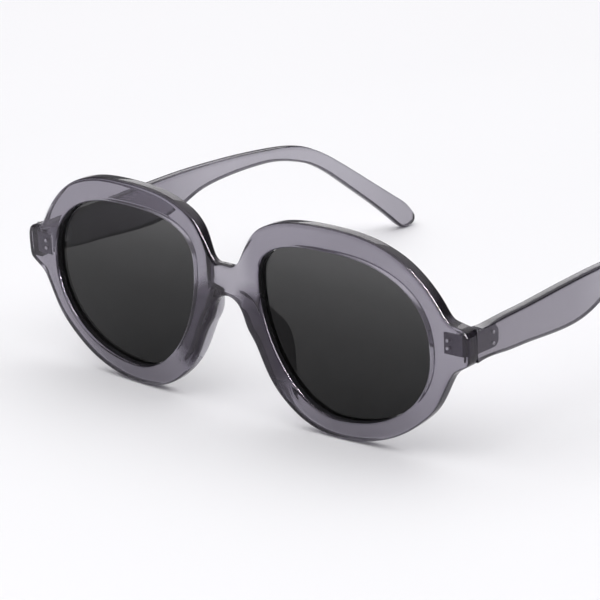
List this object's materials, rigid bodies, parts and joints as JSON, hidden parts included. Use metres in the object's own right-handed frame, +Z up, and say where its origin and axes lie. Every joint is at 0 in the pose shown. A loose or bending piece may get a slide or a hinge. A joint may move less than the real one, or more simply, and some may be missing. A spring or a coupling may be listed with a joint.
{
  "type": "oversized sunglasses",
  "caption": "Oversized rounded sunglasses with a translucent grey plastic front, dark lenses, glued nose pads and two folding hooked temples.",
  "frame": {"origin": "on the ground, under the middle of the open pair's bounding box", "axes": "+Z up, +X towards the wearer's left, +Y back along the open temples; the front faces -Y"},
  "size_m": [0.1448, 0.1479, 0.0534],
  "materials": {
    "frame_plastic": "polished translucent grey",
    "pad_plastic": "polished translucent grey",
    "lens": "dark grey tint, a little lighter at the top",
    "hinge_metal": "plated, satin"
  },
  "bodies": {
    "front": {"front_frame": "frame_plastic", "lens_left": "lens", "lens_right": "lens", "nose_pad_left": "pad_plastic", "nose_pad_right": "pad_plastic", "front_hinge_left": "hinge_metal", "front_hinge_right": "hinge_metal", "hinge_screw_left": "hinge_metal", "hinge_screw_right": "hinge_metal", "front_rivet_upper_left": "hinge_metal", "front_rivet_lower_left": "hinge_metal", "front_rivet_upper_right": "hinge_metal", "front_rivet_lower_right": "hinge_metal"},
    "left_arm": {"temple_hinge_left": "hinge_metal", "temple_rivet_upper_left": "hinge_metal", "temple_rivet_lower_left": "hinge_metal", "temple_left": "frame_plastic"},
    "right_arm": {"temple_hinge_right": "hinge_metal", "temple_rivet_upper_right": "hinge_metal", "temple_rivet_lower_right": "hinge_metal", "temple_right": "frame_plastic"}
  },
  "joints": [
    {"name": "left_temple_fold", "type": "hinge", "parent": "front", "child": "left_arm", "pos_m": [0.0684, -0.06409, 0.03011], "axis": [0, 0, 1], "range_deg": [0, 88]},
    {"name": "right_temple_fold", "type": "hinge", "parent": "front", "child": "right_arm", "pos_m": [-0.0684, -0.06409, 0.03011], "axis": [0, 0, -1], "range_deg": [0, 78]}
  ]
}
